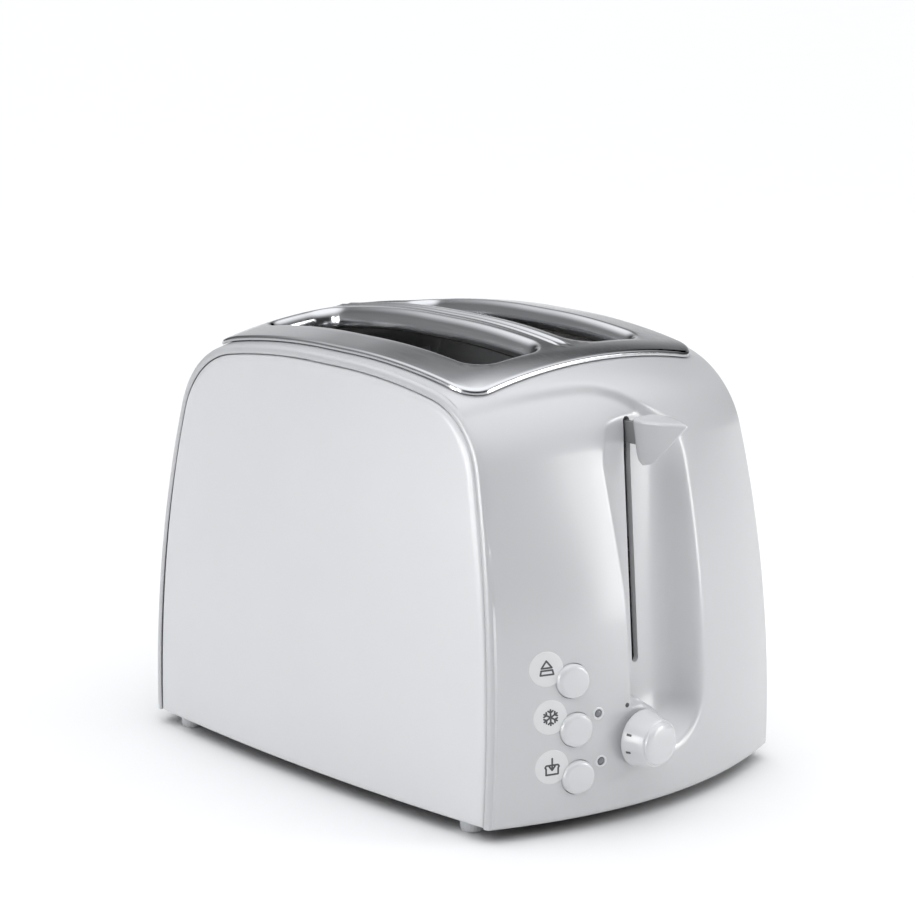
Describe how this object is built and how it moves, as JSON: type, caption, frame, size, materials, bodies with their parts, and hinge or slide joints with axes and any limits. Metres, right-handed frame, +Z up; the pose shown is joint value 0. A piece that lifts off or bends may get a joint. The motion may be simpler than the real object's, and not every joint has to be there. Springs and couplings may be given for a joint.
{
  "type": "pop-up toaster",
  "caption": "Two-slot pop-up toaster with a domed housing, scooped lever channel, browning dial, push buttons, polished top plate and slide-out crumb tray.",
  "frame": {"origin": "on the table, under the middle of the overall length (browning knob included) and width", "axes": "+Z up, -Y front with the lever, +X right-hand side seen from the front"},
  "size_m": [0.1786, 0.2743, 0.1933],
  "materials": {
    "white_gloss": "glossy moulded, white",
    "panel_white": "satin-gloss moulded, white",
    "button_white": "glossy moulded, white",
    "chrome_plate": "polished pressed plate",
    "inner_steel": "mill finish",
    "dark_steel": "zinc plated, dull",
    "mica": "mica card, matt",
    "base_black": "moulded, black",
    "foot_grey": "matt",
    "board_green": "lacquered board",
    "black_plastic": "moulded, black",
    "copper_wire": "lacquered copper winding",
    "lens_grey": "smoked lens"
  },
  "bodies": {
    "root": {"housing_shell": "white_gloss", "side_panel_left": "panel_white", "side_panel_right": "panel_white", "top_plate": "chrome_plate", "base_plate": "base_black", "front_chassis_plate": "inner_steel", "rear_chassis_plate": "inner_steel", "guide_rod": "inner_steel", "return_spring": "inner_steel", "magnet_core": "dark_steel", "magnet_coil": "copper_wire", "control_board": "board_green", "browning_control": "dark_steel", "mains_switch": "black_plastic", "cord_gland": "foot_grey", "foot_front_left": "foot_grey", "base_screw_front_left": "dark_steel", "foot_front_right": "foot_grey", "base_screw_front_right": "dark_steel", "foot_rear_left": "foot_grey", "base_screw_rear_left": "dark_steel", "foot_rear_right": "foot_grey", "base_screw_rear_right": "dark_steel", "heat_reflector_left": "inner_steel", "element_centre_left": "mica", "element_outer_left": "mica", "heat_reflector_right": "inner_steel", "element_centre_right": "mica", "element_outer_right": "mica", "switch_cancel": "black_plastic", "switch_frozen": "black_plastic", "switch_reheat": "black_plastic", "indicator_frozen": "lens_grey", "indicator_reheat": "lens_grey"},
    "carriage": {"carriage_bracket": "inner_steel", "lever_arm": "dark_steel", "lever_knob": "white_gloss", "armature_plate": "dark_steel", "bread_rack_left": "inner_steel", "bread_rack_right": "inner_steel"},
    "browning_dial": {"browning_knob": "button_white"},
    "tray": {"crumb_tray": "inner_steel"},
    "button_cancel": {"button_cancel": "button_white"},
    "button_frozen": {"button_frozen": "button_white"},
    "button_reheat": {"button_reheat": "button_white"},
    "bread_guide_left_inner": {"bread_guide_left_inner": "inner_steel"},
    "bread_guide_left_outer": {"bread_guide_left_outer": "inner_steel"},
    "bread_guide_right_inner": {"bread_guide_right_inner": "inner_steel"},
    "bread_guide_right_outer": {"bread_guide_right_outer": "inner_steel"}
  },
  "joints": [
    {"name": "carriage_slide", "type": "slide", "parent": "root", "child": "carriage", "axis": [0, 0, -1], "range_m": [0, 0.088], "stiffness_N_per_m": 60, "springref_m": -0.06, "deforming": ["return_spring"]},
    {"name": "browning_turn", "type": "hinge", "parent": "root", "child": "browning_dial", "pos_m": [-0.0175, -0.12415, 0.036], "axis": [0, -1, 0], "range_deg": [-135, 135]},
    {"name": "tray_slide", "type": "slide", "parent": "root", "child": "tray", "axis": [0, 1, 0], "range_m": [0, 0.19]},
    {"name": "press_cancel", "type": "slide", "parent": "root", "child": "button_cancel", "axis": [0, 1, 0], "range_m": [0, 0.0016], "stiffness_N_per_m": 500, "springref_m": -0.001},
    {"name": "press_frozen", "type": "slide", "parent": "root", "child": "button_frozen", "axis": [0, 1, 0], "range_m": [0, 0.0016], "stiffness_N_per_m": 500, "springref_m": -0.001},
    {"name": "press_reheat", "type": "slide", "parent": "root", "child": "button_reheat", "axis": [0, 1, 0], "range_m": [0, 0.0016], "stiffness_N_per_m": 500, "springref_m": -0.001},
    {"name": "lean_left_inner", "type": "hinge", "parent": "root", "child": "bread_guide_left_inner", "pos_m": [-0.0135, 0.00695, 0.024], "axis": [0, 1, 0], "range_deg": [-4.6, 0]},
    {"name": "lean_left_outer", "type": "hinge", "parent": "root", "child": "bread_guide_left_outer", "pos_m": [-0.0445, 0.00695, 0.024], "axis": [0, 1, 0], "range_deg": [0, 4.6]},
    {"name": "lean_right_inner", "type": "hinge", "parent": "root", "child": "bread_guide_right_inner", "pos_m": [0.0135, 0.00695, 0.024], "axis": [0, 1, 0], "range_deg": [0, 4.6]},
    {"name": "lean_right_outer", "type": "hinge", "parent": "root", "child": "bread_guide_right_outer", "pos_m": [0.0445, 0.00695, 0.024], "axis": [0, 1, 0], "range_deg": [-4.6, 0]}
  ],
  "couplings": [
    {"joint": "lean_left_inner", "follows": "carriage_slide", "rad_per_m": -0.8925},
    {"joint": "lean_left_outer", "follows": "carriage_slide", "rad_per_m": 0.8925},
    {"joint": "lean_right_inner", "follows": "carriage_slide", "rad_per_m": 0.8925},
    {"joint": "lean_right_outer", "follows": "carriage_slide", "rad_per_m": -0.8925}
  ]
}
